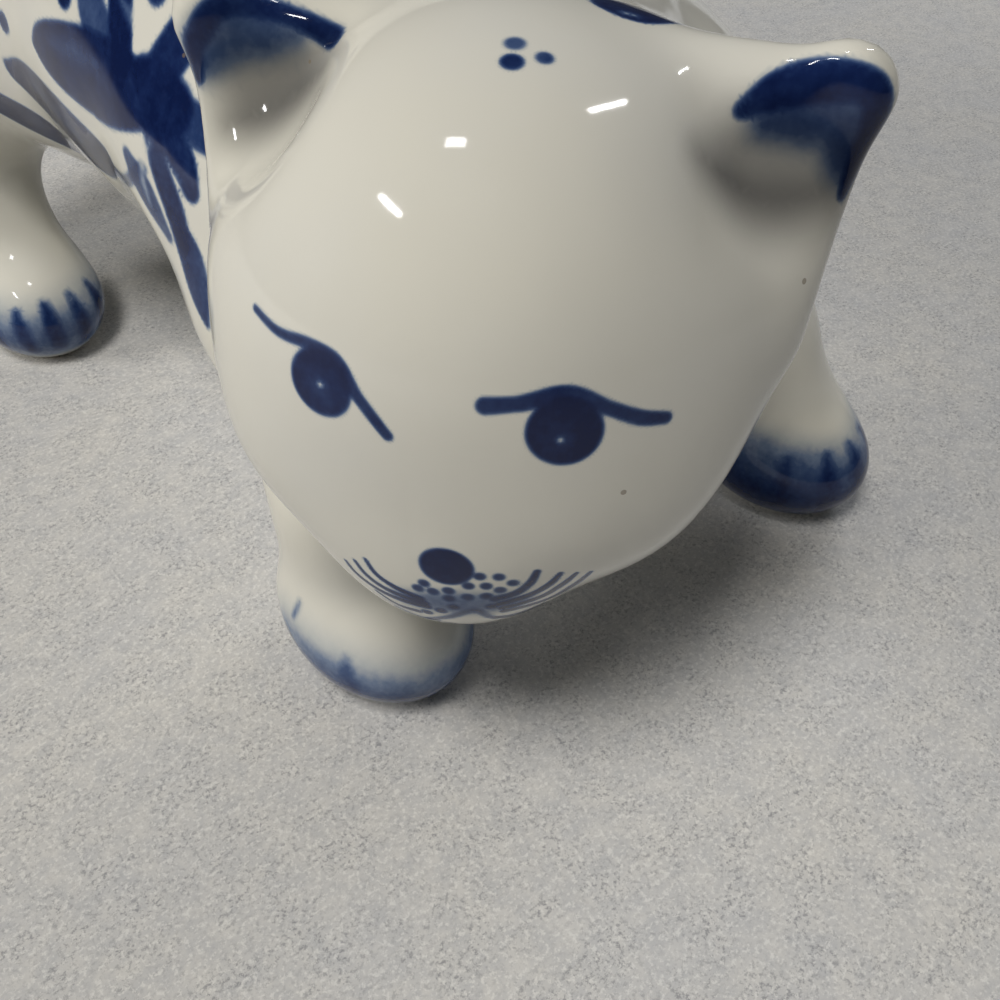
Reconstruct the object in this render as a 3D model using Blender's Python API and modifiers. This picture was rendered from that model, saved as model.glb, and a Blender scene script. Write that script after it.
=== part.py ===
"""Porcelain cat figurine in a prowling stance, its lowered head turned to its right.

Nine castings are luted together with slip and then glazed and fired as one: a torso and a head,
both hollow, two ears, four legs and a tail. Nothing moves.

Metres, +Z up. The cat faces -Y, its right side is -X, and it stands on z = 0. Shapes are written
in millimetres about the point on the floor midway between its front feet; the empty
cat_figurine then carries them so that the origin lies under the middle of the whole figurine.
"""

from math import radians

import bmesh
import bpy
from mathutils import Matrix, Vector

MM = 0.001
WALL = 4.0  # thickness that the slip casts to in the torso and the head
SEAM = 0.3  # space left for the slip between two castings
STANCE_TO_ORIGIN = (-5.9, -90.83, 0.0)

HEAD_CENTRE = (-24.5, -1.5, 75.0)  # middle of the cranium
HEAD_TURN = radians(-57.0)  # about Z, from straight ahead towards the cat's right
EAR_LEAN = radians(37.0)  # of an ear's long axis, outwards from upright

NECK_HOLE_RADIUS = 15.0
NECK_HOLE_FROM = (12.0, 25.0, 80.0)  # inside the torso, on the way to the head
VENT_RADIUS = 4.0
VENT_AT = (3.0, 92.0, 44.0)

ROUND = 16  # corners of a casting's coarsest ring
SLIM = 12  # corners of a leg's or an ear's coarsest ring

# Each section: centre x, y, z, then the ring's two half widths.
TORSO = (
    (4.0, -2.0, 76.0, 12.0, 11.0),
    (4.0, 8.0, 77.0, 27.0, 23.0),
    (4.0, 27.0, 80.0, 39.0, 34.0),
    (4.0, 56.0, 82.5, 46.0, 41.0),
    (4.0, 94.0, 82.0, 47.0, 40.0),
    (3.0, 130.0, 81.0, 50.0, 45.0),
    (3.0, 158.0, 79.0, 41.0, 39.0),
    (3.0, 177.0, 78.0, 21.0, 21.0),
)

# The head's own frame: x to the cat's left, y backwards and z up, from the cranium's middle.
HEAD = (
    (0.0, -36.0, -20.0, 7.0, 7.0),
    (0.0, -31.5, -15.0, 15.5, 15.5),
    (0.0, -25.0, -9.5, 24.0, 23.5),
    (0.0, -16.0, -6.0, 30.5, 28.5),
    (0.0, -4.0, -2.5, 35.0, 30.5),
    (0.0, 10.0, -0.5, 34.5, 29.0),
    (0.0, 23.0, 0.0, 25.0, 22.0),
    (0.0, 31.0, 0.0, 12.0, 11.0),
)
EAR = (
    (19.0, 1.0, 2.0, 22.0, 13.0),
    (25.0, 3.0, 12.0, 17.0, 11.0),
    (30.5, 4.0, 20.0, 10.0, 8.0),
    (34.0, 4.5, 25.0, 4.5, 4.5),
)
EAR_CUP = ((21.0, -16.0, 6.0, 8.0, 8.0), (26.0, -10.5, 13.5, 9.0, 7.5), (30.0, -7.0, 20.0, 4.0, 4.0))

LEGS = {
    "front_right_leg": (
        (-37.0, 15.0, -5.0, 15.0, 18.5),
        (-37.0, 15.0, 7.0, 15.0, 19.5),
        (-37.0, 17.5, 17.0, 14.0, 17.0),
        (-37.5, 19.0, 33.0, 13.5, 15.0),
        (-37.0, 25.0, 50.0, 15.5, 20.0),
        (-32.0, 37.0, 66.0, 19.0, 28.0),
        (-22.0, 42.0, 80.0, 10.0, 15.0),
    ),
    "front_left_leg": (
        (47.0, -0.5, -5.0, 15.0, 18.5),
        (47.0, -0.5, 7.0, 15.0, 19.5),
        (46.0, 3.0, 17.0, 14.0, 17.0),
        (43.5, 7.0, 33.0, 13.5, 15.0),
        (41.0, 16.0, 50.0, 15.5, 19.0),
        (37.0, 31.0, 66.0, 17.0, 26.0),
        (28.0, 39.0, 80.0, 10.0, 15.0),
    ),
    "hind_right_leg": (
        (-44.5, 141.0, -5.0, 15.0, 18.5),
        (-44.5, 141.0, 7.0, 15.0, 19.5),
        (-45.0, 147.0, 17.0, 14.0, 17.5),
        (-45.5, 155.0, 32.0, 15.0, 17.0),
        (-42.0, 153.0, 50.0, 19.0, 27.0),
        (-35.0, 146.0, 70.0, 20.0, 33.0),
        (-26.0, 141.0, 86.0, 12.0, 20.0),
    ),
    "hind_left_leg": (
        (50.5, 135.0, -5.0, 15.0, 18.5),
        (50.5, 135.0, 7.0, 15.0, 19.5),
        (51.5, 141.0, 17.0, 14.0, 17.5),
        (51.5, 148.0, 32.0, 15.0, 17.0),
        (48.0, 147.0, 50.0, 19.0, 27.0),
        (41.0, 142.0, 70.0, 20.0, 33.0),
        (32.0, 139.0, 86.0, 12.0, 20.0),
    ),
}

# The tail's centre line, each point with the tail's radius there.
TAIL = (
    (3.0, 160.0, 92.0, 11.0),
    (5.0, 184.0, 82.0, 11.0),
    (13.0, 200.0, 62.0, 10.0),
    (28.0, 207.0, 40.0, 9.5),
    (46.0, 202.0, 23.0, 9.0),
    (60.0, 190.0, 14.0, 8.5),
    (65.0, 180.0, 13.0, 7.0),
    (66.0, 175.0, 13.0, 3.0),
)

PORCELAIN = (0.62, 0.60, 0.51)
WASHED_BLUE = (0.24, 0.30, 0.40)
EAR_BLUE = (0.16, 0.20, 0.30)


def clear_scene():
    for obj in list(bpy.data.objects):
        bpy.data.objects.remove(obj)


def new_collection(name):
    collection = bpy.data.collections.new(name)
    bpy.context.scene.collection.children.link(collection)
    return collection


def glaze(name, colour):
    material = bpy.data.materials.new(name)
    material.use_nodes = True
    shader = material.node_tree.nodes["Principled BSDF"]
    shader.inputs["Base Color"].default_value = (*colour, 1.0)
    shader.inputs["Roughness"].default_value = 0.08
    shader.inputs["Metallic"].default_value = 0.0
    material.diffuse_color = (*colour, 1.0)
    return material


def ring_matrix(section, across, along):
    """Carries a unit circle to an ellipse about the section's centre, in millimetres."""
    *centre, half_across, half_along = section
    columns = Matrix.Identity(4)
    columns.col[0].xyz = Vector(across) * half_across
    columns.col[1].xyz = Vector(along) * half_along
    columns.col[2].xyz = Vector(across).cross(Vector(along))
    columns.col[3].xyz = centre
    return columns


def loft(name, sections, across, along, corners):
    """A closed cage through the sections' rings, whose planes hold across and along."""
    mesh = bpy.data.meshes.new(name)
    work = bmesh.new()
    last = len(sections) - 1
    before = None
    for number, section in enumerate(sections):
        made = bmesh.ops.create_circle(
            work,
            cap_ends=number in (0, last),
            segments=corners,
            radius=1.0,
            matrix=ring_matrix(section, across, along),
        )
        ring = list({edge for vertex in made["verts"] for edge in vertex.link_edges})
        if before:
            bmesh.ops.bridge_loops(work, edges=before + ring)
        before = ring
    bmesh.ops.recalc_face_normals(work, faces=work.faces)
    bmesh.ops.scale(work, vec=(MM, MM, MM), verts=work.verts)
    work.to_mesh(mesh)
    work.free()
    mesh.shade_smooth()
    return mesh


def add_object(name, mesh, collection, material=None):
    obj = bpy.data.objects.new(name, mesh)
    collection.objects.link(obj)
    if material:
        mesh.materials.append(material)
    return obj


def soften(obj, levels=1):
    modifier = obj.modifiers.new("soften", "SUBSURF")
    modifier.levels = levels
    modifier.render_levels = levels


def hollow_out(obj):
    modifier = obj.modifiers.new("cast wall", "SOLIDIFY")
    modifier.thickness = WALL * MM
    modifier.offset = -1.0


def cut(obj, cutter):
    modifier = obj.modifiers.new("cut by " + cutter.name, "BOOLEAN")
    modifier.operation = "DIFFERENCE"
    modifier.solver = "EXACT"
    modifier.object = cutter


def as_cutter(obj):
    obj.hide_render = True
    obj.display_type = "WIRE"
    return obj


def grown_copy(obj, collection):
    """The casting's outer skin moved out by the slip joint, to trim what is luted onto it."""
    skin = add_object(obj.name + "_skin", obj.data.copy(), collection)
    skin.matrix_world = obj.matrix_world.copy()
    soften(skin)
    grow = skin.modifiers.new("slip joint", "DISPLACE")
    grow.strength = SEAM * MM
    grow.mid_level = 0.0
    return as_cutter(skin)


def head_frame():
    place = Vector(HEAD_CENTRE) * MM
    return Matrix.Translation(place) @ Matrix.Rotation(HEAD_TURN, 4, "Z")


def rod_cutter(name, start, end, radius, collection):
    """A plain cylinder from start to end, to bore a hole with."""
    axis = Vector(end) - Vector(start)
    mesh = bpy.data.meshes.new(name)
    work = bmesh.new()
    bmesh.ops.create_cone(
        work,
        cap_ends=True,
        segments=20,
        radius1=radius * MM,
        radius2=radius * MM,
        depth=axis.length * MM,
    )
    work.to_mesh(mesh)
    work.free()
    rod = add_object(name, mesh, collection)
    rod.location = (Vector(start) + Vector(end)) * 0.5 * MM
    rod.rotation_euler = axis.to_track_quat("Z", "Y").to_euler()
    return as_cutter(rod)


def floor_cutter(collection):
    """Everything below z = 0, to cut the feet flat."""
    mesh = bpy.data.meshes.new("below_the_floor")
    work = bmesh.new()
    bmesh.ops.create_cube(work, size=1.0)
    bmesh.ops.scale(work, vec=(0.4, 0.6, 0.04), verts=work.verts)
    bmesh.ops.translate(work, vec=(0.0, 0.1, -0.02), verts=work.verts)
    work.to_mesh(mesh)
    work.free()
    return as_cutter(add_object("below_the_floor", mesh, collection))


def make_torso(parts, cutters):
    mesh = loft("torso", TORSO, (1, 0, 0), (0, 0, 1), ROUND)
    torso = add_object("torso", mesh, parts, glaze("torso glaze", PORCELAIN))
    skin = grown_copy(torso, cutters)
    soften(torso)
    hollow_out(torso)
    through_neck = rod_cutter("neck_hole", NECK_HOLE_FROM, HEAD_CENTRE, NECK_HOLE_RADIUS, cutters)
    below = (VENT_AT[0], VENT_AT[1], VENT_AT[2] - 20.0)
    above = (VENT_AT[0], VENT_AT[1], VENT_AT[2] + 10.0)
    vent = rod_cutter("vent", below, above, VENT_RADIUS, cutters)
    cut(torso, through_neck)
    cut(torso, vent)
    return skin


def make_head(parts, cutters, torso_skin):
    mesh = loft("head", HEAD, (1, 0, 0), (0, 0, 1), ROUND)
    head = add_object("head", mesh, parts, glaze("head glaze", PORCELAIN))
    head.matrix_world = head_frame()
    skin = grown_copy(head, cutters)
    soften(head)
    hollow_out(head)
    cut(head, torso_skin)
    return skin


def mirrored(sections, side):
    return [(side * x, *rest) for x, *rest in sections]


def make_ear(name, side, parts, cutters, head_skin, torso_skin):
    """side is 1 for the cat's left ear and -1 for its right."""
    lean = Matrix.Rotation(side * EAR_LEAN, 3, "Y")
    across = lean @ Vector((1, 0, 0))
    thick = (0, 1, 0)
    mesh = loft(name, mirrored(EAR, side), across, thick, SLIM)
    ear = add_object(name, mesh, parts, glaze(name + " glaze", EAR_BLUE))
    ear.matrix_world = head_frame()
    cup_mesh = loft(name + "_cup", mirrored(EAR_CUP, side), across, thick, SLIM)
    cup = as_cutter(add_object(name + "_cup", cup_mesh, cutters))
    cup.matrix_world = head_frame()
    soften(cup)
    skin = grown_copy(ear, cutters)
    soften(ear)
    cut(ear, cup)
    cut(ear, head_skin)
    cut(ear, torso_skin)
    return skin


def make_leg(name, sections, parts, floor, skins):
    mesh = loft(name, sections, (1, 0, 0), (0, 1, 0), SLIM)
    leg = add_object(name, mesh, parts, glaze(name + " glaze", WASHED_BLUE))
    soften(leg)
    cut(leg, floor)
    for skin in skins:
        cut(leg, skin)
    return leg


def tail_curve():
    curve = bpy.data.curves.new("tail_line", "CURVE")
    curve.dimensions = "3D"
    curve.bevel_depth = MM
    curve.bevel_resolution = 4
    curve.use_fill_caps = True
    curve.resolution_u = 4
    spline = curve.splines.new("BEZIER")
    spline.bezier_points.add(len(TAIL) - 1)
    for point, (x, y, z, radius) in zip(spline.bezier_points, TAIL):
        point.co = Vector((x, y, z)) * MM
        point.radius = radius
        point.handle_left_type = "AUTO"
        point.handle_right_type = "AUTO"
    return curve


def make_tail(parts, skins):
    line = add_object("tail_line", tail_curve(), parts)
    bpy.context.view_layer.update()
    graph = bpy.context.evaluated_depsgraph_get()
    mesh = bpy.data.meshes.new_from_object(line.evaluated_get(graph))
    bpy.data.objects.remove(line)
    work = bmesh.new()
    work.from_mesh(mesh)
    bmesh.ops.remove_doubles(work, verts=work.verts, dist=0.00001)
    bmesh.ops.recalc_face_normals(work, faces=work.faces)
    work.to_mesh(mesh)
    work.free()
    mesh.shade_smooth()
    tail = add_object("tail", mesh, parts, glaze("tail glaze", WASHED_BLUE))
    for skin in skins:
        cut(tail, skin)
    return tail


def carry(objects, parts):
    """Parents the objects to the empty that puts the origin under the figurine's middle."""
    root = bpy.data.objects.new("cat_figurine", None)
    parts.objects.link(root)
    for obj in objects:
        if obj is not root and obj.parent is None:
            obj.parent = root
    root.location = Vector(STANCE_TO_ORIGIN) * MM


def main():
    clear_scene()
    parts = new_collection("cat figurine")
    cutters = new_collection("cutters")
    torso_skin = make_torso(parts, cutters)
    head_skin = make_head(parts, cutters, torso_skin)
    make_ear("left_ear", 1, parts, cutters, head_skin, torso_skin)
    right_ear_skin = make_ear("right_ear", -1, parts, cutters, head_skin, torso_skin)
    touching = {name: [torso_skin] for name in LEGS}
    touching["front_right_leg"] += [head_skin, right_ear_skin]
    floor = floor_cutter(cutters)
    for name, sections in LEGS.items():
        make_leg(name, sections, parts, floor, touching[name])
    make_tail(parts, (torso_skin,))
    carry(list(bpy.data.objects), parts)


main()
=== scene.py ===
"""The looks of the glazed ceramic cat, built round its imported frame.

The cat's skin is one smooth signed distance field: each casting is a few round solids, and the
castings melt into each other as slip-joined, glazed pieces do. The skin is meshed, refined where
the brush has been, cut along the joints between the castings and painted vertex by vertex.

Lengths are in millimetres until a mesh is made. The stance frame has its origin on the floor
between the front feet, and the cat faces -Y with its own left at +X. The head frame has its
origin in the middle of the skull, with the face at -Y.
"""

import math

import bpy
import numpy as np
import openvdb
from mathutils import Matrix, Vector


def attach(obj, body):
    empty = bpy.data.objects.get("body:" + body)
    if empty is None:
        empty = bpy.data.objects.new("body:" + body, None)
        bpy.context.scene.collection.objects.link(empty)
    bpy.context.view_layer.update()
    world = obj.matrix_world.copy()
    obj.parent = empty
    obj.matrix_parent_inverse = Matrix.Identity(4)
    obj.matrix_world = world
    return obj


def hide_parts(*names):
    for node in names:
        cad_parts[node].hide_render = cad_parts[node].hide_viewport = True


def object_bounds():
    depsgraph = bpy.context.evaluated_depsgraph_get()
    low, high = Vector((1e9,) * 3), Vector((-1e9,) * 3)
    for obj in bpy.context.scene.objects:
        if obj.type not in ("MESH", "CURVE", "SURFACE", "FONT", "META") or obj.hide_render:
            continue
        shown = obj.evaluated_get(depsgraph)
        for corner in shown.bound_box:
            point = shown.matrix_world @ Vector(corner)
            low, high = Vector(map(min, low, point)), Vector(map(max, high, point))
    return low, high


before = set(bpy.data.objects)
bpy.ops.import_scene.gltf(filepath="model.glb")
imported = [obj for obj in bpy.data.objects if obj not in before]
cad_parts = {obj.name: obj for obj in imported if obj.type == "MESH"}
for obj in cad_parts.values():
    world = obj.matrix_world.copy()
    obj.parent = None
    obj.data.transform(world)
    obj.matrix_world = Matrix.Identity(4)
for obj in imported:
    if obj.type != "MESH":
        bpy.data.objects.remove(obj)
cad_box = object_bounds()

MM = 0.001

# The first mesh's cell, how far a point may slide onto a joint's line, and a joint cap's step inward.
CELL = 2.2
JOINT_SLIDE = 0.5
CAP_STEP = 1.5

# The stance frame's point that stands at the middle of the CAD box, and the frames' difference.
STANCE_MIDDLE = (5.9, 90.83, 0)
FRAME_SHIFT = np.array((cad_box[0] + cad_box[1]) / 2) * (1, 1, 0) / MM - STANCE_MIDDLE

HEAD_AT = (-24.5, -1.5, 75.0)
HEAD_TURN = -57.0

# Legs: round joints (x, y, z, radius) from the body down, then the paw's middle (x, y).
LEGS = {
    "front_right_leg": (
        ((-23.5, 54, 72, 19), (-30, 40, 54, 14), (-35, 20, 33, 12), (-36.5, 20, 14, 13)),
        (-37, 15),
    ),
    "front_left_leg": (
        ((28, 42, 72, 18), (37, 20, 54, 13), (42, 9, 33, 11.5), (47, 2, 14, 13)),
        (47, -0.5),
    ),
    "hind_right_leg": (
        ((-28, 154, 70, 27), (-41, 163, 45, 16), (-45, 158, 27, 12), (-44.5, 148, 14, 13)),
        (-44.5, 141),
    ),
    "hind_left_leg": (
        ((34, 146, 70, 28), (47, 154, 45, 16), (51, 150, 27, 12), (50.5, 141, 14, 13)),
        (50.5, 135),
    ),
}
PAW_RADII = (14.2, 18.5, 12.5)
PAW_HEIGHT = 9.5

# The vent hole under the belly, as a round cone's ends and radius.
VENT = ((3, 92, 20), (3, 92, 42), 4)

TAIL = (
    (3, 160, 92, 11),
    (5, 184, 82, 11),
    (13, 200, 62, 10),
    (28, 207, 40, 9.5),
    (46, 202, 23, 9),
    (60, 190, 14, 8.5),
    (66, 178, 13, 7),
)


# ---------------------------------------------------------------- distance fields


def melt(a, b, reach):
    """The smooth union of two distances, which blend where they differ by less than reach."""
    near = np.maximum(reach - np.abs(a - b), 0) / reach
    return np.minimum(a, b) - near**3 * reach / 6


def carve(a, b, reach):
    """a without b, with a rounded rim."""
    return -melt(-a, b, reach)


def ellipsoid(points, centre, radii):
    """The nearly true distance to an ellipsoid."""
    offset = (points - np.array(centre, float)) / np.array(radii, float)
    length = np.linalg.norm(offset, axis=1)
    slope = np.linalg.norm(offset / np.array(radii, float), axis=1)
    return length * (length - 1) / np.maximum(slope, 1e-9)


def round_cone(points, start, end, start_radius, end_radius):
    """The distance to the hull of two balls."""
    start = np.array(start, float)
    axis = np.array(end, float) - start
    length = math.sqrt(axis @ axis)
    axis = axis / length
    offset = points - start
    along = offset @ axis
    across = np.sqrt(np.maximum((offset * offset).sum(1) - along * along, 0))
    lean = (start_radius - end_radius) / length
    upright = math.sqrt(1 - lean * lean)
    place = along * upright - across * lean
    side = across * upright + along * lean - start_radius
    first = np.hypot(across, along) - start_radius
    last = np.hypot(across, along - length) - end_radius
    return np.where(place < 0, first, np.where(place > length * upright, last, side))


def chain(points, joints, reach):
    """A limb of round joints (x, y, z, radius)."""
    distance = None
    for start, end in zip(joints, joints[1:]):
        bone = round_cone(points, start[:3], end[:3], start[3], end[3])
        distance = bone if distance is None else melt(distance, bone, reach)
    return distance


def turn(axis, degrees):
    """A rotation matrix for row vectors about Y or Z."""
    c, s = math.cos(math.radians(degrees)), math.sin(math.radians(degrees))
    if axis == "y":
        return np.array([[c, 0, s], [0, 1, 0], [-s, 0, c]])
    return np.array([[c, -s, 0], [s, c, 0], [0, 0, 1]])


TO_HEAD = turn("z", HEAD_TURN)


def to_head(points):
    """From the stance frame to the head frame."""
    return (points - np.array(HEAD_AT)) @ TO_HEAD


def from_head(points):
    """From the head frame to the stance frame."""
    return np.atleast_2d(np.array(points, float)) @ TO_HEAD.T + np.array(HEAD_AT)


def trunk(points):
    """Chest, middle and rump."""
    chest = ellipsoid(points, (3, 32, 71), (42, 39, 25))
    middle = ellipsoid(points, (-4, 80, 77), (39, 62, 41))
    rump = ellipsoid(points, (3, 135, 78), (50, 44, 47))
    return melt(melt(chest, middle, 20), rump, 24)


def neck(points):
    return round_cone(points, (3, 38, 84), (-12, 10, 77), 27, 24)


def skull(points):
    """The head without its ears, in the head frame."""
    both = np.column_stack([np.abs(points[:, 0]), points[:, 1:]])
    distance = ellipsoid(points, (0, 1, 0), (33.5, 31.5, 29.5))
    distance = melt(distance, ellipsoid(points, (-0.5, -18.5, -20), (15.5, 11.5, 15.5)), 14)
    return melt(distance, ellipsoid(both, (13, -11, -11), (15, 15, 15)), 12)


def ear(points, side):
    """One ear in the head frame; side is 1 for the cat's left."""
    near = points * (side, 1, 1)
    tip, inner, outer = (33, 4, 24), (13, 9, 18), (26.5, -1, 2)
    distance = round_cone(near, tip, inner, 4.2, 8)
    distance = melt(distance, round_cone(near, tip, outer, 4.2, 7.5), 5)
    return melt(distance, round_cone(near, tip, (23, 7, 8), 4.2, 10), 5)


def ear_cup(points, side):
    """The ball that hollows the front of an ear, a little to the cat's left of mirrored."""
    near = ((points - (2, 0, 0)) * (side, 1, 1) - (29.5, -8, 23.5)) @ turn("y", -10)
    return ellipsoid(near, (0, 0, 0), (8.5, 9.5, 8))


def leg(points, name):
    """One leg with its paw."""
    joints, (x, y) = LEGS[name]
    paw = ellipsoid(points, (x, y, PAW_HEIGHT), PAW_RADII)
    return melt(chain(points, joints, 8), paw, 6)


def castings(points):
    """The distance to each casting by itself, by CAD node name."""
    at_head = to_head(points)
    found = {
        "torso": melt(trunk(points), neck(points), 12),
        "head": skull(at_head),
        "left_ear": ear(at_head, 1),
        "right_ear": ear(at_head, -1),
        "tail": chain(points, TAIL, 10),
    }
    for name in LEGS:
        found[name] = leg(points, name)
    return found


def skin_of(points, parts):
    """The glazed outside of the whole cat, from the castings' distances."""
    at_head = to_head(points)
    head = parts["head"]
    for name, side in (("left_ear", 1), ("right_ear", -1)):
        head = melt(head, parts[name], 6)
        head = carve(head, ear_cup(at_head, side), 13)
    body = parts["torso"]
    for name in LEGS:
        body = melt(body, parts[name], 14)
    body = melt(body, parts["tail"], 10)
    whole = melt(melt(head, neck(points), 12), body, 2.5)
    low, high, radius = VENT
    whole = carve(whole, round_cone(points, low, high, radius, radius), 1)
    return carve(whole, points[:, 2], 1.5)


def skin(points):
    """The distance to the cat's glazed outside."""
    return skin_of(points, castings(points))


def slope_of(field, points):
    """The field's gradient at the points, by central differences."""
    step = 0.02
    sides = [
        (field(points + shift) - field(points - shift)) / (2 * step)
        for shift in np.eye(3) * step
    ]
    return np.stack(sides, 1)


def settle(points, rounds):
    """Moves points onto the skin."""
    for _ in range(rounds):
        slope = slope_of(skin, points)
        steep = np.maximum((slope * slope).sum(1), 0.05)
        points = points - slope * (skin(points) / steep)[:, None]
    return points


# ---------------------------------------------------------------- brush strokes

# A stroke is its points (x, y, z, half width), then its tone from 0 to 1 and how soft its edge is.
# A negative tone lifts paint off. The strokes from here to the flower are in the head frame.
RIGHT_LID = (
    ((-17.2, -24.4, 8.6, 0.35), (-14, -26.3, 7.9, 0.45), (-10, -27.7, 8.2, 0.6), (-7, -28.7, 7.5, 0.8),
     (-5, -29.7, 5, 0.65), (-3.4, -30.2, 3.2, 0.6), (-1.8, -30.5, 1.3, 0.55)),
    0.8, 0.35,
)
LEFT_LID = (
    ((7.5, -29, 6, 0.85), (10.4, -28.2, 6.3, 0.75), (14.6, -26.5, 7, 0.9), (18.4, -25, 5.1, 0.7),
     (21, -23.6, 3.6, 0.75), (23.2, -22.1, 2.9, 0.6)),
    0.8, 0.35,
)
# Dots are a place and a radius; the eye glints are the places of painted highlights in the irises, where the
# paint is lifted.
EYES = (((-9, -29, 4.8), 3.5), ((14.6, -27.2, 3.3), 3.6))
EYE_GLINTS = ((-8.9, -28.8, 4.6), (14.2, -27.3, 2.4))
NOSE = ((3.4, -30.5, -15.9), 2.9)
CROWN_BLOB = (
    (((9.3, 10, 28, 2.6), (11.3, 10.3, 27.6, 3.3), (14, 12, 26.6, 2.2), (17, 14, 25, 0.6)), 0.95, 0.5),
    # A painted highlight on the blob, where the paint is lifted.
    (((10.6, 8.3, 28, 0.5), (11.6, 8.5, 27.9, 0.4)), -0.8, 0.6),
)
CROWN_DOTS = (
    ((3, -5, 28.8), 1.0, 0.5),
    ((3.5, -7.6, 28.2), 1.05, 0.85),
    ((6.1, -6, 28.2), 0.8, 0.65),
)
WHISKERS = (
    ((-6.2, -30.1, -18.2, 0.22), (-5.2, -30, -20.3, 0.35), (-3.4, -30.1, -21.6, 0.4),
     (0, -30, -22.8, 0.5)),
    ((-7.8, -29.5, -19.5, 0.2), (-6.6, -29.4, -21.6, 0.35), (-4.2, -29.6, -23, 0.4),
     (0.4, -29.8, -23.7, 0.5)),
    ((-9.3, -28.8, -20.8, 0.2), (-8.2, -28.8, -22.8, 0.35), (-5, -29.2, -24.3, 0.4),
     (0.5, -29.6, -24.5, 0.5)),
    ((-6, -28.7, -25, 0.2), (-3.6, -28.7, -26.6, 0.35), (-1, -28.9, -26.6, 0.45)),
    ((-4, -27.9, -28, 0.3), (-1.5, -27.8, -29.2, 0.35), (1, -28, -28.7, 0.3)),
    ((12.8, -28.2, -15.9, 0.35), (12, -28, -18.3, 0.5), (10.5, -28.1, -20.3, 0.55),
     (8.2, -28.7, -21.5, 0.5)),
    ((15.1, -27.1, -16.6, 0.25), (13.9, -26.9, -19, 0.45), (12, -27.2, -21.1, 0.5),
     (8.7, -28.2, -22.8, 0.5)),
    ((16.6, -26.2, -17, 0.2), (15, -26, -19.8, 0.4), (12.8, -26.2, -22.4, 0.45),
     (9, -27.8, -24, 0.5)),
    ((18, -25.4, -17.3, 0.2), (16.1, -24.9, -20.7, 0.35), (13.5, -25, -23.8, 0.4),
     (9, -27.3, -25, 0.5)),
    ((13, -24.5, -25.8, 0.3), (10.5, -25.4, -27.2, 0.45), (7.8, -26.8, -27.2, 0.5)),
)
MOUTH = (
    ((0, -28, -28.7, 0.4), (3, -28.7, -26.5, 0.5), (5.9, -28.8, -24.2, 0.4), (7.3, -27.4, -26.6, 0.5),
     (9, -25.8, -27.8, 0.4)),
    0.55, 0.5,
)
MUZZLE_WASH = (
    ((-2, -29.4, -23.5, 1.4), (3, -29.6, -23, 2.4), (8.5, -28.3, -22.5, 2.2), (11, -27.3, -22.5, 1)),
    0.42, 1.8,
)
MUZZLE_DOTS = (
    (6.9, -29.8, -16.9), (8.9, -29.3, -16.9), (10.3, -28.7, -18.1), (8.9, -28.9, -19.5),
    (7.5, -29.5, -18.7), (5.6, -29.9, -18.8), (3.4, -30.2, -20.1), (1.6, -30.3, -20.7),
    (0.7, -30.5, -19.4), (-0.1, -30.4, -20.6), (5.4, -29.6, -21.1), (3.3, -29.9, -21.7),
    (7.4, -29.2, -20.8), (7.7, -28.4, -23.3), (3.6, -29.5, -23.6), (2, -29.4, -25), (0.2, -29.1, -26.2),
)
# Shade painted into the hollows of the ears' cups, as strokes; it goes into the paint's green and darkens
# the colour there.
EAR_SHADE = (
    (((-30.5, -2, 15.8, 1.8), (-26.8, -0.5, 17, 3.8), (-22.8, 0.7, 19, 3.8),
      (-18.5, -0.5, 21.8, 1.6)), 0.9, 4.5),
    (((-32.5, 0, 20, 2), (-29, 1.5, 20.5, 3.4), (-24.5, 1.8, 21.5, 3.4), (-20, 1.5, 23.5, 1.6)), 0.72, 4),
    (((20.5, -4, 19.5, 0.8), (24.2, -2.6, 17.4, 3), (28.3, -1.5, 15.8, 4), (33, -0.5, 16.6, 3.4)), 0.92, 4),
    (((25, 0, 20, 2.2), (29.5, 1.5, 20.3, 3.4), (34, 1.5, 20, 3)), 0.75, 4),
)
RIGHT_EAR = (
    (((-34.5, 1.5, 19, 0.8), (-34.6, 2, 22.6, 1.2), (-32, 2, 26, 1.3), (-27.9, 2.8, 26.7, 1.1),
      (-23.6, 3, 26, 1.0), (-18.6, 1.5, 25, 1.3)), 0.82, 0.5),
    (((-34, 1, 21.5, 2.4), (-31, 2, 23.5, 3), (-27, 2.8, 24, 2.6), (-23.5, 2.4, 24, 1)), 0.5, 2.2),
)
LEFT_EAR = (
    (((23.8, 2, 22.4, 0.8), (26.6, 2.8, 24.1, 1.7), (29.6, 2.9, 25.4, 2), (33, 2, 26, 1.8),
      (35.5, 1.6, 25.4, 1.6), (36.7, 1.6, 23, 1.4), (37, 1.3, 19.5, 1.2), (36.3, 0, 16, 0.6)), 0.86, 0.5),
    (((26.5, 2.2, 21.5, 1.5), (30, 2.4, 22.5, 2.8), (33.5, 2, 22.5, 3.2), (35.5, 1.2, 19.5, 2.8)), 0.6, 2.2),
)

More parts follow.
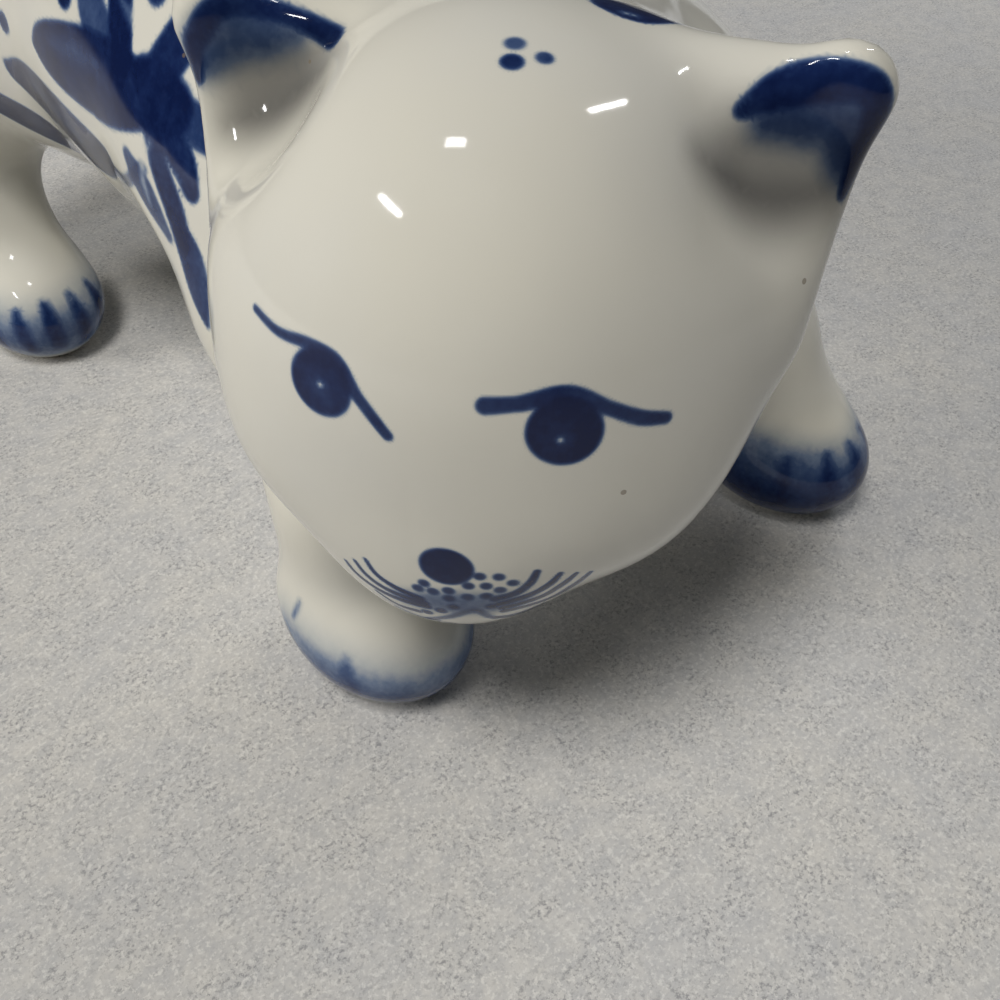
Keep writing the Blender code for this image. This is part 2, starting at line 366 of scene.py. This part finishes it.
# The flower's strokes (towards the tail, up, half width), tone, softness, from the flower's heart.
FLOWER = (
    (((39, -4, 0.8), (34, -3.5, 3.8), (25, -3, 5.6), (14, -2, 5.8), (3, -1, 4)), 0.9, 0.6),
    (((32, -1.5, 0.6), (25, -1, 1.4), (17, -0.5, 0.6)), -0.3, 1.4),
    (((60, -15, 2.2), (51, -15.5, 5), (39, -16.5, 5.8), (28, -17, 4.6), (20, -15, 1.6)), 0.86, 0.7),
    (((52, -14.5, 0.6), (42, -15, 1.6), (33, -17, 0.8)), -0.28, 1.6),
    (((82, -24, 3), (73, -27, 5), (60, -29, 5), (48, -30, 3.6), (40, -29, 1.2)), 0.84, 0.8),
    (((25, -17.5, 1.2), (13, -15.5, 0.9), (4, -10, 1)), 0.5, 0.5),
    (((21, 9, 1.8), (18, 5, 3.4), (13, 1, 3)), 0.6, 0.6),
    (((13, 11, 1.8), (12, 7, 2.6), (10, 2, 2.4)), 0.93, 0.5),
    (((-2, 13, 1.8), (-1, 8, 3), (2, 2, 3)), 0.88, 0.6),
    (((4, 1, 3), (-1, -1, 4)), 0.97, 0.8),
    (((-1, -1, 2), (-5, -2, 2.8), (-9, -3, 2.4)), 0.66, 0.6),
    (((0, -4, 1.6), (-4, -6.5, 2.4), (-6, -10, 1.6)), 0.9, 0.5),
    (((8, -10, 1.4), (5, -13.5, 2.8), (0, -18.5, 1)), 0.6, 0.6),
    (((2, -4, 1.5), (0, -9, 2), (-2.5, -14, 2.2), (-4, -18, 1.4)), 0.88, 0.6),
    (((-2, -15, 1.4), (-5, -19, 2.8), (-7, -23.5, 2.6), (-9, -28, 0.6)), 0.74, 0.5),
    (((54, -5, 1.5), (55, -5.5, 1.5)), 0.7, 0.6),
    (((5, 4, 0.4), (9, 6.5, 0.9), (12, 8, 0.4)), -0.55, 0.8),
    (((2, -6, 0.4), (4.5, -11, 0.9), (4, -15, 0.4)), -0.6, 0.8),
    (((-2.5, 2.5, 0.4), (-4.5, 6.5, 1)), -0.55, 0.8),
    (((20, -9, 0.8), (26, -10.5, 1.5), (32, -9.5, 0.8)), -0.75, 0.8),
    (((26, 6, 2), (26, 10, 3.4), (23, 16, 2.6)), 0.9, 0.6),
    (((3, 21, 1.6), (5, 16, 3.2), (6, 10, 1.6)), 0.85, 0.6),
    (((14, 22, 1.6), (14, 17, 3.2), (12, 12, 1.4)), 0.72, 0.6),
)

# Each paw's washes (height, half width, tone, softness) and toe strokes (degrees, tone, top).
PAWS = {
    "front_right_leg": (
        ((2.5, 2.8, 0.55, 2.4), (6.5, 3.8, 0.48, 4.5), (12, 3.2, 0.2, 5.0)),
        ((-58, 0.3, 13), (-24, 0.08, 10), (15, 0.1, 10), (48, 0.35, 15)),
    ),
    "front_left_leg": (
        ((4, 3.0, 0.6, 3.0), (9, 4.0, 0.76, 4.0), (16, 3.4, 0.42, 5.0)),
        ((-55, 0.4, 15), (-25, 0.6, 17), (2, 0.45, 18), (32, 0.5, 17)),
    ),
    "hind_right_leg": (
        ((3.5, 2.4, 0.3, 3.0), (9, 3.4, 0.42, 4.0), (15, 3.0, 0.16, 4.5)),
        ((-62, 0.65, 13), (-36, 0.72, 14), (-10, 0.7, 15), (16, 0.6, 15), (42, 0.6, 14)),
    ),
    "hind_left_leg": (
        ((3.5, 2.4, 0.3, 3.0), (9, 3.4, 0.42, 4.0), (15, 3.0, 0.16, 4.5)),
        ((-45, 0.6, 14), (-18, 0.7, 15), (8, 0.7, 15), (34, 0.6, 14), (60, 0.6, 13)),
    ),
}
# Each flank's flower hearts (side, y, z, scale, tilt in degrees), seen square on.
FLOWERS = (
    (-1, 47, 85, 1.0, 0),
    (-1, 150, 92, 0.62, 168),
    (1, 54, 84, 1.0, 0),
    (1, 150, 92, 0.62, 168),
)

# The back's groups of dots (x, y, size, tone).
BACK_DOTS = ((2, 62, 1.5, 0.7), (-12, 98, 1.6, 0.75), (14, 120, 1.5, 0.7), (2, 146, 1.7, 0.8))

# The tail's bands: which point of its smooth line, and the tone.
TAIL_BANDS = ((6, 0.45), (10, 0.5), (14, 0.6), (17, 0.65), (20, 0.75), (22, 0.8), (24, 0.85))

# One stray tick of the brush on the front right paw.
PAW_TICK = ((-50.6, 17, 19, 0.2), (-50.8, 17.5, 17, 0.45), (-50.9, 18, 15, 0.2))


def spline(points, steps=7):
    """A smooth line through points, which may carry a width as their last number."""
    p = np.array(points, float)
    p = np.vstack([2 * p[0] - p[1], p, 2 * p[-1] - p[-2]])
    t = np.linspace(0, 1, steps, endpoint=False)[:, None]
    found = []
    for a, b, c, d in zip(p, p[1:], p[2:], p[3:]):
        bend = 2 * a - 5 * b + 4 * c - d
        twist = 3 * b - a - 3 * c + d
        found.append(0.5 * (2 * b + (c - a) * t + bend * t**2 + twist * t**3))
    return np.vstack([*found, p[-2]])


def land(points, way):
    """Follows way from each point until it meets the skin."""
    points = np.array(points, float)
    for _ in range(50):
        points = points + np.array(way, float) * np.clip(skin(points), -5, 40)[:, None] * 0.8
    return points


def stroke(line, tone, softness):
    return {"line": line, "tone": tone, "soft": softness}


def head_stroke(points, tone, softness):
    """A stroke given in the head frame, laid on the skin."""
    line = spline(points)
    line[:, :3] = settle(from_head(line[:, :3]), 3)
    return stroke(line, tone, softness)


def dot(point, radius, tone, softness):
    """A round dab on the head, as a very short stroke."""
    x, y, z = point
    return head_stroke(((x, y, z, radius), (x + 0.05, y, z, radius)), tone, softness)


def stance_stroke(points, tone, softness):
    """A stroke given in the stance frame, laid on the skin."""
    line = spline(points)
    line[:, :3] = settle(line[:, :3], 3)
    return stroke(line, tone, softness)


def flank_strokes(side, y, z, scale, tilt):
    """The flower on one flank; side is 1 for the cat's left, and y, z is its heart."""
    c, s = math.cos(math.radians(tilt)), math.sin(math.radians(tilt))
    found = []
    for points, tone, softness in FLOWER:
        line = spline(points)
        u, v = line[:, 0] * scale, line[:, 1] * scale
        start = np.stack([np.full(len(u), side * 75.0), y + u * c - v * s, z + u * s + v * c], 1)
        placed = np.column_stack([land(start, (-side, 0, 0)), line[:, 2] * scale])
        found.append(stroke(placed, tone, softness))
    return found


def back_dots(x, y, size, tone):
    """Three dots seen from above."""
    found = []
    for along, across, share in ((0, -1.2, 1), (2.6, 0.4, 1.05), (0.3, 2, 0.8)):
        start = np.array([[x + across * size, y + along * size, 140.0]] * 2)
        start[1, 0] += 0.05
        placed = np.column_stack([land(start, (0, 0, -1)), [size * share * 0.9] * 2])
        found.append(stroke(placed, tone * share, 0.4))
    return found


def paw_strokes(name):
    """The washes round the foot and the toe strokes over them."""
    x, y = LEGS[name][1]
    wide, long, _ = PAW_RADII
    washes, toes = PAWS[name]
    found = []
    for height, half, tone, softness in washes:
        turns = np.radians(np.arange(-105, 110, 15))
        ring = [(x + wide * math.sin(t), y - long * math.cos(t), height, half) for t in turns]
        found.append(stance_stroke(ring, tone, softness))
    for degrees, tone, top in toes:
        out = (math.sin(math.radians(degrees)) * wide, -math.cos(math.radians(degrees)) * long)
        points = [
            (x + out[0] * reach, y + out[1] * reach, height, half)
            for reach, height, half in ((0.8, top, 0.6), (0.95, top * 0.75, 1.5), (1, 6, 1.3))
        ]
        found.append(stance_stroke(points, tone, 1.2))
    return found


def tail_strokes():
    """Brushed bands round the tail, closer and darker towards its tip."""
    line = spline(TAIL, 4)
    found = []
    for i, tone in TAIL_BANDS:
        ahead = line[min(i + 1, len(line) - 1), :3] - line[i - 1, :3]
        ahead /= np.linalg.norm(ahead)
        side = np.cross(ahead, (0.3, 0.2, 1))
        side /= np.linalg.norm(side)
        top = np.cross(side, ahead)
        for start in (-70, 55):
            turns = np.radians(start + np.arange(0, 100, 20))
            ring = [line[i, :3] + line[i, 3] * (side * math.sin(t) + top * math.cos(t)) for t in turns]
            widths = (0.6, 1.6, 2, 1.6, 0.5)
            band = [(*place, width) for place, width in zip(ring, widths)]
            found.append(stance_stroke(band, tone, 0.8))
    return found


def head_strokes():
    """The face, the crown and the ears' blue."""
    found = [head_stroke(*one) for one in (RIGHT_LID, LEFT_LID, MOUTH, MUZZLE_WASH, *CROWN_BLOB)]
    found += [dot(place, radius, 0.99, 0.4) for place, radius in (*EYES, NOSE)]
    # Painted highlights in the irises: a soft pale patch and a small near-white glint.
    found += [dot(place, 0.9, -0.3, 1.6) for place in EYE_GLINTS]
    found += [dot(place, 0.3, -0.9, 0.3) for place in EYE_GLINTS]
    found += [dot(place, radius, tone, 0.4) for place, radius, tone in CROWN_DOTS]
    found += [head_stroke(points, 0.86, 0.3) for points in WHISKERS]
    found += [dot(place, 0.62, 0.74, 0.35) for place in MUZZLE_DOTS]
    return found + [head_stroke(*one) for one in (*RIGHT_EAR, *LEFT_EAR)]


def all_strokes():
    """All of the cobalt, in the order in which it is brushed on."""
    found = head_strokes()
    for side, y, z, scale, tilt in FLOWERS:
        found += flank_strokes(side, y, z, scale, tilt)
    for x, y, size, tone in BACK_DOTS:
        found += back_dots(x, y, size, tone)
    for name in LEGS:
        found += paw_strokes(name)
    found.append(stance_stroke(PAW_TICK, 0.4, 0.8))
    return found + tail_strokes()


def inside_of(one, points):
    """How far each point lies inside the stroke's edge."""
    line = one["line"]
    start, step = line[:-1], line[1:] - line[:-1]
    length = np.maximum((step[:, :3] ** 2).sum(1), 1e-9)
    offset = points[:, None, :] - start[None, :, :3]
    share = np.clip((offset * step[None, :, :3]).sum(2) / length, 0, 1)
    away = np.linalg.norm(offset - share[:, :, None] * step[None, :, :3], axis=2)
    return (start[:, 3] + share * step[:, 3] - away).max(1)


def near_stroke(one, points, reach):
    """Which points lie in the stroke's box grown by reach."""
    low = one["line"][:, :3].min(0) - one["line"][:, 3].max() - reach
    high = one["line"][:, :3].max(0) + one["line"][:, 3].max() + reach
    return np.nonzero(((points > low) & (points < high)).all(1))[0]


def cobalt(points, strokes):
    """The cobalt's strength at each point: strokes overlap as washes do, and some lift paint."""
    bare = np.ones(len(points))
    for one in strokes:
        for part in np.array_split(near_stroke(one, points, one["soft"]), 8):
            if len(part):
                inside = inside_of(one, points[part]) / one["soft"]
                deep = np.clip(inside * 0.5 + 0.5, 0, 1)
                laid = abs(one["tone"]) * deep * deep * (3 - 2 * deep)
                bare[part] += laid * ((one["tone"] < 0) - bare[part])
    return 1 - bare


# ---------------------------------------------------------------- mesh


def skin_mesh(cell):
    """The skin as points and four-sided faces about one cell across."""
    low = np.array(cad_box[0]) / MM - FRAME_SHIFT - 8
    high = np.array(cad_box[1]) / MM - FRAME_SHIFT + 8
    counts = np.ceil((high - low) / cell).astype(int) + 1
    axes = [low[i] + cell * np.arange(counts[i]) for i in range(3)]
    values = np.empty(counts, np.float32)
    for i, x in enumerate(axes[0]):
        y, z = np.meshgrid(axes[1], axes[2], indexing="ij")
        layer = np.stack([np.full(y.size, x), y.ravel(), z.ravel()], 1)
        values[i] = skin(layer).reshape(y.shape)
    grid = openvdb.FloatGrid()
    grid.copyFromArray(values)
    points, faces = grid.convertToQuads(isovalue=0.0)
    return settle(points.astype(float) * cell + low, 3), faces.astype(int)


def touched(points, faces, strokes, size):
    """Which faces the edge of a stroke crosses, where the stroke is crisp enough to need it."""
    middle = points[faces].mean(1)
    found = np.zeros(len(faces), bool)
    for one in strokes:
        if size < one["soft"] * 1.2:
            continue
        reach = one["soft"] * 0.5 + size
        near = near_stroke(one, middle, reach)
        for part in np.array_split(near[~found[near]], 4):
            if len(part):
                found[part] |= np.abs(inside_of(one, middle[part])) < reach
    return found


def refine(points, faces, levels, size, strokes):
    """Splits faces into four: all of them once, then those that a stroke's edge crosses.
    Returns the points, the faces as quads, and the middle of each split edge by its ends."""
    middles = {}
    for level in range(levels):
        split = np.ones(len(faces), bool) if level == 0 else touched(points, faces, strokes, size)
        size /= 2
        chosen = faces[split]
        edges = np.stack([chosen, np.roll(chosen, -1, 1)], 2)
        ends = np.sort(edges.reshape(-1, 2), 1)
        unique, index = np.unique(ends, axis=0, return_inverse=True)
        fresh = [tuple(pair) not in middles for pair in unique.tolist()]
        added = unique[np.array(fresh, bool)]
        centres = points[chosen].mean(1)
        new = settle(np.vstack([points[added].mean(1), centres]), 2)
        first = len(points)
        for place, pair in enumerate(added.tolist()):
            middles[tuple(pair)] = first + place
        half = np.array([middles[tuple(pair)] for pair in unique.tolist()])[index.reshape(-1)]
        half = half.reshape(-1, 4)
        points = np.vstack([points, new])
        centre = first + len(added) + np.arange(len(chosen))
        quarters = [
            np.stack([chosen[:, i], half[:, i], centre, half[:, i - 1]], 1) for i in range(4)
        ]
        faces = np.vstack([faces[~split], *quarters])
    return points, faces, middles


def with_middles(face, middles):
    """The face's corners with the points that a finer neighbour put on its edges."""
    found = []
    for a, b in zip(face, face[1:] + face[:1]):
        found.append(a)
        waiting = [(a, b)]
        inner = []
        while waiting:
            start, end = waiting.pop()
            middle = middles.get((start, end) if start < end else (end, start))
            if middle is not None:
                inner.append((start, middle, end))
                waiting += [(start, middle), (middle, end)]
        if inner:
            order = {a: 0.0, b: 1.0}
            for start, middle, end in inner:
                order[middle] = (order[start] + order[end]) / 2
            found += sorted((m for _, m, _ in inner), key=order.get)
    return found


def smooth_joints(points, faces, owner):
    """Slides the points between two castings onto the line where they meet."""
    names = list(castings(points[:1]))
    owners = [set() for _ in range(len(points))]
    for face, who in zip(faces.tolist(), owner.tolist()):
        for corner in face:
            owners[corner].add(who)
    for i in range(len(names)):
        for j in range(i + 1, len(names)):
            line = np.array([k for k, who in enumerate(owners) if who == {i, j}], int)
            if not len(line):
                continue

            def gap(p, i=i, j=j):
                parts = castings(p)
                return parts[names[i]] - parts[names[j]]

            moved = points[line]
            for _ in range(3):
                up = slope_of(skin, moved)
                up /= np.linalg.norm(up, axis=1)[:, None]
                across = slope_of(gap, moved)
                across -= up * (across * up).sum(1)[:, None]
                steep = np.maximum((across * across).sum(1), 0.1)
                moved = moved - across * (gap(moved) / steep)[:, None]
            shift = moved - points[line]
            far = np.maximum(np.linalg.norm(shift, axis=1) / JOINT_SLIDE, 1)
            points[line] = settle(points[line] + shift / far[:, None], 2)
    return points


def rims_of(faces):
    """The open edges of a set of faces as closed loops of points."""
    edges = {}
    for face in faces:
        for a, b in zip(face, face[1:] + face[:1]):
            edges[a, b] = True
    following = {}
    for a, b in edges:
        if (b, a) not in edges:
            following.setdefault(b, []).append(a)
    loops = []
    while following:
        start = next(iter(following))
        loop = [start]
        while True:
            here = loop[-1]
            onward = following[here].pop()
            if not following[here]:
                del following[here]
            if onward == start:
                break
            loop.append(onward)
        loops.append(loop)
    return loops


def make_piece(name, points, ups, paint, faces):
    """One casting's own mesh: its part of the skin, and a cap inside across each joint."""
    used = sorted({corner for face in faces for corner in face})
    place = {old: new for new, old in enumerate(used)}
    spots = points[used].tolist()
    normals = ups[used].tolist()
    shades = paint[used].tolist()
    shown = [[place[corner] for corner in face] for face in faces]
    caps = []
    for loop in rims_of(faces):
        rim = points[loop]
        inner = rim - ups[loop] * CAP_STEP
        middle = inner.mean(0)
        facing = np.cross(rim - middle, np.roll(rim, -1, 0) - middle).sum(0)
        facing /= max(np.linalg.norm(facing), 1e-9)
        rings = []
        for ring in (rim, inner, middle + (inner - middle) * 0.5):
            rings.append(range(len(spots), len(spots) + len(loop)))
            spots += ring.tolist()
            normals += [facing.tolist()] * len(loop)
            shades += [[0.0, 0.0, 1.0, 1.0]] * len(loop)
        rings[0] = [place[corner] for corner in loop]
        spots.append(middle.tolist())
        normals.append(facing.tolist())
        shades.append([0.0, 0.0, 1.0, 1.0])
        for i in range(len(loop)):
            k = (i + 1) % len(loop)
            for outer, deeper in zip(rings, rings[1:]):
                caps.append([outer[i], outer[k], deeper[k], deeper[i]])
            caps.append([rings[2][i], rings[2][k], len(spots) - 1])
    mesh = bpy.data.meshes.new(name)
    mesh.from_pydata((np.array(spots) * MM + FRAME_SHIFT * MM).tolist(), [], shown + caps)
    mesh.shade_smooth()
    mesh.normals_split_custom_set_from_vertices(normals)
    colour = mesh.color_attributes.new("paint", "FLOAT_COLOR", "POINT")
    colour.data.foreach_set("color", np.array(shades, np.float32).ravel())
    piece = bpy.data.objects.new(name + "_glazed", mesh)
    bpy.context.scene.collection.objects.link(piece)
    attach(piece, "root")
    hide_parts(name)
    return piece


def make_cat():
    """The whole painted cat, as one piece for each casting."""
    strokes = all_strokes()
    points, faces = skin_mesh(CELL)
    levels = 3
    points, faces, middles = refine(points, faces, levels, CELL, strokes)
    nearness = castings(points)
    owner = np.stack(list(nearness.values()), 1)[faces].mean(1).argmin(1)
    points = smooth_joints(points, faces, owner)
    ups = slope_of(skin, points)
    ups /= np.linalg.norm(ups, axis=1)[:, None]
    paint = np.zeros((len(points), 4))
    paint[:, 0] = cobalt(points, strokes)
    # The green is painted shade in the ears' cups.
    paint[:, 1] = cobalt(points, [head_stroke(*one) for one in EAR_SHADE])
    paint[:, 2] = np.clip((0.7 - points[:, 2]) / 0.4, 0, 1)
    paint[:, 3] = 1
    whole = [with_middles(face, middles) for face in faces.tolist()]
    porcelain = make_glaze("porcelain_glaze", 0.6)
    washed = make_glaze("cobalt_washed_glaze", 0.9)
    for i, name in enumerate(nearness):
        mine = [whole[k] for k in np.nonzero(owner == i)[0]]
        piece = make_piece(name, points, ups, paint, mine)
        is_washed = name.endswith("_leg") or name == "tail"
        piece.data.materials.append(washed if is_washed else porcelain)


# ---------------------------------------------------------------- glaze


class Nodes:
    """Short calls for building a material's nodes."""

    def __init__(self, name):
        self.material = bpy.data.materials.new(name)
        self.material.use_nodes = True
        self.tree = self.material.node_tree
        self.shader = self.tree.nodes["Principled BSDF"]
        self.place = self.add("ShaderNodeTexCoord").outputs["Object"]

    def add(self, kind, **values):
        """A node with its settings."""
        node = self.tree.nodes.new(kind)
        for name, value in values.items():
            setattr(node, name, value)
        return node

    def join(self, output, target):
        self.tree.links.new(output, target)

    def noise(self, scale, detail=3.0, rough=0.5):
        """Noise from about 0.3 to 0.7, with scale in features per metre."""
        node = self.add("ShaderNodeTexNoise")
        self.join(self.place, node.inputs["Vector"])
        node.inputs["Scale"].default_value = scale
        node.inputs["Detail"].default_value = detail
        node.inputs["Roughness"].default_value = rough
        return node.outputs["Fac"]

    def math(self, kind, a, b=0.0):
        """One sum, where a and b are numbers or other nodes' outputs."""
        node = self.add("ShaderNodeMath", operation=kind)
        for socket, value in zip(node.inputs, (a, b)):
            if isinstance(value, (int, float)):
                socket.default_value = value
            else:
                self.join(value, socket)
        return node.outputs[0]

    def spread(self, value, low, high, out_low, out_high):
        """Maps low to high onto out_low to out_high, and clamps."""
        node = self.add("ShaderNodeMapRange")
        self.join(value, node.inputs["Value"])
        ends = {"From Min": low, "From Max": high, "To Min": out_low, "To Max": out_high}
        for name, number in ends.items():
            node.inputs[name].default_value = number
        return node.outputs["Result"]

    def ramp(self, value, stops):
        """A colour for each value, from stops (position, colour)."""
        node = self.add("ShaderNodeValToRGB")
        self.join(value, node.inputs["Fac"])
        marks = node.color_ramp.elements
        while len(marks) < len(stops):
            marks.new(0.5)
        for mark, (position, colour) in zip(marks, stops):
            mark.position = position
            mark.color = (*colour, 1)
        return node.outputs["Color"]

    def mix(self, share, a, b, kind="MIX"):
        """Colour a turned into b, or multiplied by it, by share."""
        node = self.add("ShaderNodeMix", data_type="RGBA", blend_type=kind)
        targets = (node.inputs[0], node.inputs[6], node.inputs[7])
        for socket, value in zip(targets, (share, a, b)):
            if isinstance(value, tuple):
                socket.default_value = (*value, 1)
            elif isinstance(value, (int, float)):
                socket.default_value = value
            else:
                self.join(value, socket)
        return node.outputs[2]


# The bare glaze, the share of the colour that is left where shade is painted into the ears' cups, and
# the colour of the cobalt from a thin wash to a full brush.
IVORY = (0.62, 0.61, 0.555)
EAR_SHADE_COLOUR = (0.14, 0.14, 0.15)
COBALT_STOPS = (
    (0.0, IVORY),
    (0.12, (0.44, 0.46, 0.46)),
    (0.3, (0.15, 0.2, 0.3)),
    (0.45, (0.05, 0.085, 0.185)),
    (0.65, (0.016, 0.036, 0.115)),
    (0.85, (0.006, 0.016, 0.072)),
    (1.0, (0.003, 0.009, 0.05)),
)


def iron_specks(n):
    """Where the few small brown specks of the body show."""
    pits = n.add("ShaderNodeTexVoronoi")
    n.join(n.place, pits.inputs["Vector"])
    pits.inputs["Scale"].default_value = 75
    chosen = n.add("ShaderNodeSeparateColor")
    n.join(pits.outputs["Color"], chosen.inputs["Color"])
    close = n.math("LESS_THAN", pits.outputs["Distance"], 0.024)
    return n.math("MULTIPLY", close, n.math("GREATER_THAN", chosen.outputs["Red"], 0.55))


def make_glaze(name, wash):
    """Clear glaze over an ivory body, with cobalt brushed on before the glaze. A greater wash
    pools more unevenly. The paint's red is cobalt, its green painted shade in the ears' cups and its blue
    bare body."""
    n = Nodes(name)
    channels = n.add("ShaderNodeSeparateColor")
    paint = n.add("ShaderNodeAttribute", attribute_name="paint")
    n.join(paint.outputs["Color"], channels.inputs["Color"])
    strength, shade, bare = (channels.outputs[i] for i in range(3))
    pooled = n.spread(n.noise(140, 4, 0.6), 0.3, 0.7, 1 - 0.25 * wash, 1 + 0.25 * wash)
    streaks = n.spread(n.noise(900, 2), 0.3, 0.7, 0.92, 1.06)
    strength = n.math("MULTIPLY", n.math("MULTIPLY", strength, pooled), streaks)
    # Painted shade in the ears' cups darkens the colour here.
    colour = n.mix(shade, n.ramp(strength, COBALT_STOPS), EAR_SHADE_COLOUR, "MULTIPLY")
    warmth = n.ramp(n.noise(26, 3), ((0.3, (0.97, 0.975, 1.0)), (0.7, (1.0, 0.99, 0.965))))
    colour = n.mix(1.0, colour, warmth, "MULTIPLY")
    colour = n.mix(n.math("MULTIPLY", iron_specks(n), 0.6), colour, (0.16, 0.12, 0.08))
    grit = n.ramp(n.noise(1500, 2), ((0.35, (0.42, 0.38, 0.31)), (0.65, (0.58, 0.54, 0.46))))
    colour = n.mix(bare, colour, grit)
    n.join(colour, n.shader.inputs["Base Color"])
    n.join(n.spread(bare, 0, 1, 0.07, 0.75), n.shader.inputs["Roughness"])
    n.shader.inputs["IOR"].default_value = 1.4
    bump = n.add("ShaderNodeBump")
    bump.inputs["Strength"].default_value = 0.35
    bump.inputs["Distance"].default_value = 0.0006
    n.join(n.noise(55, 2), bump.inputs["Height"])
    n.join(bump.outputs["Normal"], n.shader.inputs["Normal"])
    return n.material


# ---------------------------------------------------------------- scene


def make_floor():
    """A pale grey table top with fine dark and light grains."""
    mesh = bpy.data.meshes.new("floor")
    mesh.from_pydata([(-2, -2, 0), (2, -2, 0), (2, 2, 0), (-2, 2, 0)], [], [(0, 1, 2, 3)])
    floor = bpy.data.objects.new("floor", mesh)
    bpy.context.scene.collection.objects.link(floor)
    n = Nodes("floor")
    base = n.ramp(n.noise(260, 4, 0.7), ((0.36, (0.50, 0.50, 0.505)), (0.62, (0.59, 0.58, 0.565))))
    fleck = n.spread(n.noise(1300, 3, 0.8), 0.5, 0.6, 0, 1)
    where = n.spread(n.noise(170, 3, 0.6), 0.42, 0.6, 0.25, 0.95)
    grain = n.mix(n.math("MULTIPLY", fleck, where), base, (0.30, 0.30, 0.31))
    pale = n.spread(n.noise(1050, 3, 0.8), 0.52, 0.62, 0, 0.7)
    grain = n.mix(pale, grain, (0.72, 0.71, 0.69))
    cloud = n.ramp(n.noise(40, 3), ((0.3, (0.94, 0.95, 0.97)), (0.7, (1.0, 0.995, 0.98))))
    colour = n.mix(1.0, grain, cloud, "MULTIPLY")
    n.join(colour, n.shader.inputs["Base Color"])
    n.shader.inputs["Roughness"].default_value = 0.75
    floor.data.materials.append(n.material)


def make_camera():
    """Close above the cat's right shoulder, looking down its left side."""
    data = bpy.data.cameras.new("camera")
    data.sensor_width = 36
    data.lens = 36
    data.clip_start = 0.01
    camera = bpy.data.objects.new("camera", data)
    heading, dip = math.radians(40), math.radians(45)
    ahead = Vector(
        (math.cos(dip) * math.sin(heading), math.cos(dip) * math.cos(heading), -math.sin(dip))
    )
    camera.location = Vector(FRAME_SHIFT + (-88.7, -78.1, 139)) * MM
    camera.rotation_euler = ahead.to_track_quat("-Z", "Y").to_euler()
    bpy.context.scene.collection.objects.link(camera)
    bpy.context.scene.camera = camera


def add_light(name, place, target, size, power, colour=(1, 1, 1)):
    """An area light in metres, stance frame, facing target."""
    data = bpy.data.lights.new(name, "AREA")
    data.energy = power
    data.shape = "RECTANGLE"
    data.size, data.size_y = size
    data.color = colour
    light = bpy.data.objects.new(name, data)
    light.location = Vector(FRAME_SHIFT) * MM + Vector(place)
    light.rotation_euler = (Vector(target) - Vector(place)).to_track_quat("-Z", "Y").to_euler()
    bpy.context.scene.collection.objects.link(light)
    return light


def make_lights():
    """Soft light from above and from the cat's right, and strips that only show in the glaze."""
    world = bpy.data.worlds.new("room")
    world.use_nodes = True
    world.node_tree.nodes["Background"].inputs["Color"].default_value = (0.88, 0.93, 1.0, 1)
    world.node_tree.nodes["Background"].inputs["Strength"].default_value = 0.04
    bpy.context.scene.world = world
    warm = (1, 0.97, 0.91)
    middle = (0, 0.03, 0.05)
    soft = (
        add_light("key", (-0.38, -0.11, 0.96), middle, (0.3, 0.3), 6.0, warm),
        add_light("low", (-0.83, 0.47, 0.39), middle, (0.35, 0.35), 5.2, warm),
        add_light("side", (0.87, 0.26, 0.47), middle, (0.4, 0.4), 3.2, (0.95, 0.97, 1)),
        add_light("front", (0.15, -0.95, 0.14), middle, (0.7, 0.2), 0.5, warm),
    )
    for light in soft:
        light.visible_glossy = False
    tube = add_light("tube", (0.75, 0.0, 1.1), (-0.025, -0.018, 0.1), (0.035, 0.35), 3)
    window = add_light("window", (-0.2, 0.2, 1.1), (-0.035, -0.01, 0.1), (0.07, 0.1), 0.7)
    ridge = add_light("ridge", (-0.7, 0.2, 0.9), (-0.006, -0.027, 0.1), (0.2, 0.03), 1.5)
    for light in (tube, window, ridge):
        light.visible_diffuse = False
    bpy.context.scene.view_settings.view_transform = "Standard"


make_camera()
make_lights()
make_floor()
make_cat()
